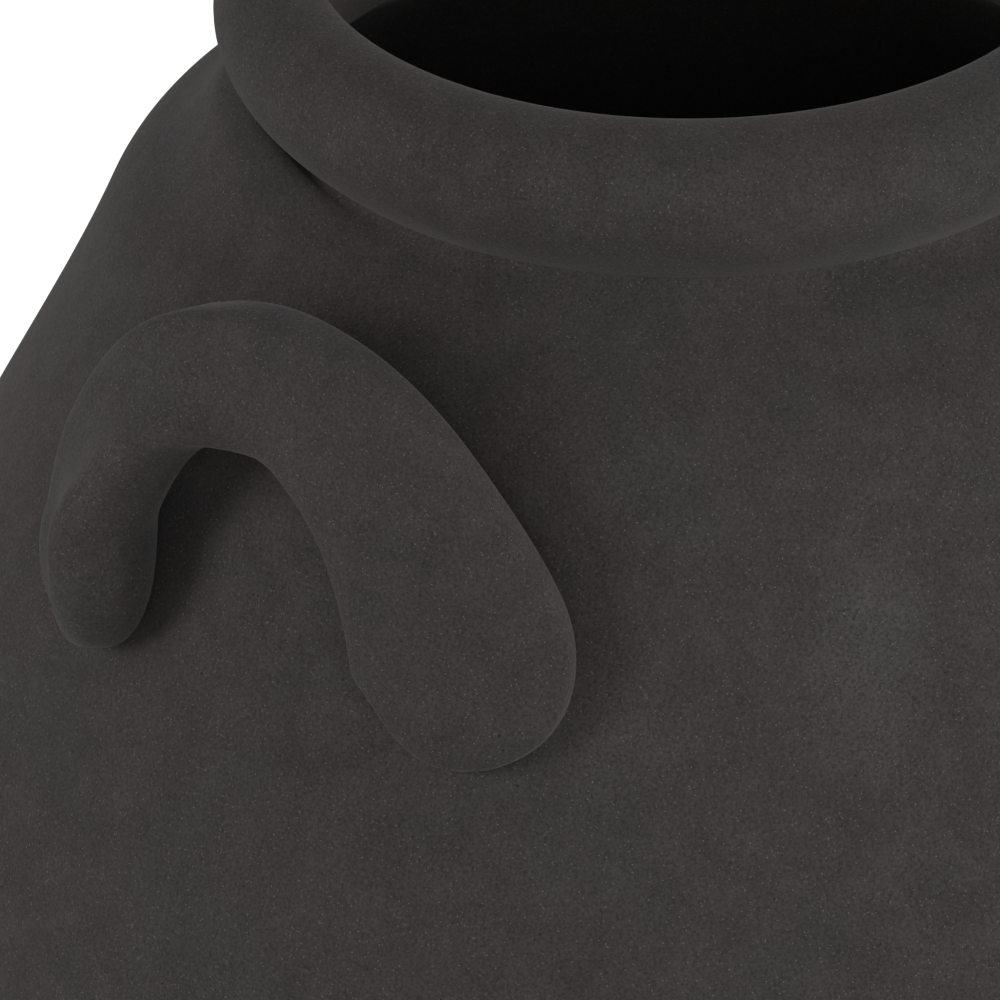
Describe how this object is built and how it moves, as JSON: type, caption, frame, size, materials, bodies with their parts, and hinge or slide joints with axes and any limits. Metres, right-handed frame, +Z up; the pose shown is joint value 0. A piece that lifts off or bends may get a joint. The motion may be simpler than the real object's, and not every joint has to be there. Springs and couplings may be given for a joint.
{
  "type": "vase",
  "caption": "Wide-shouldered charcoal stoneware vase with a thick rolled rim, an open mouth and looped strap handles pressed onto the shoulder.",
  "frame": {"origin": "centre of the ring that the vase stands on", "axes": "+Z up along the vase's axis, +X towards the middle of one handle's feet, the other handle on -X"},
  "size_m": [0.35, 0.35, 0.39],
  "materials": {
    "body_clay": "matte unglazed charcoal clay with a fine sandy grain",
    "rim_clay": "matte unglazed charcoal clay with a fine sandy grain",
    "handle_clay": "matte unglazed charcoal clay with a fine sandy grain"
  },
  "bodies": {
    "root": {"body": "body_clay", "rim_roll": "rim_clay", "handle_right": "handle_clay", "handle_left": "handle_clay"}
  },
  "joints": []
}
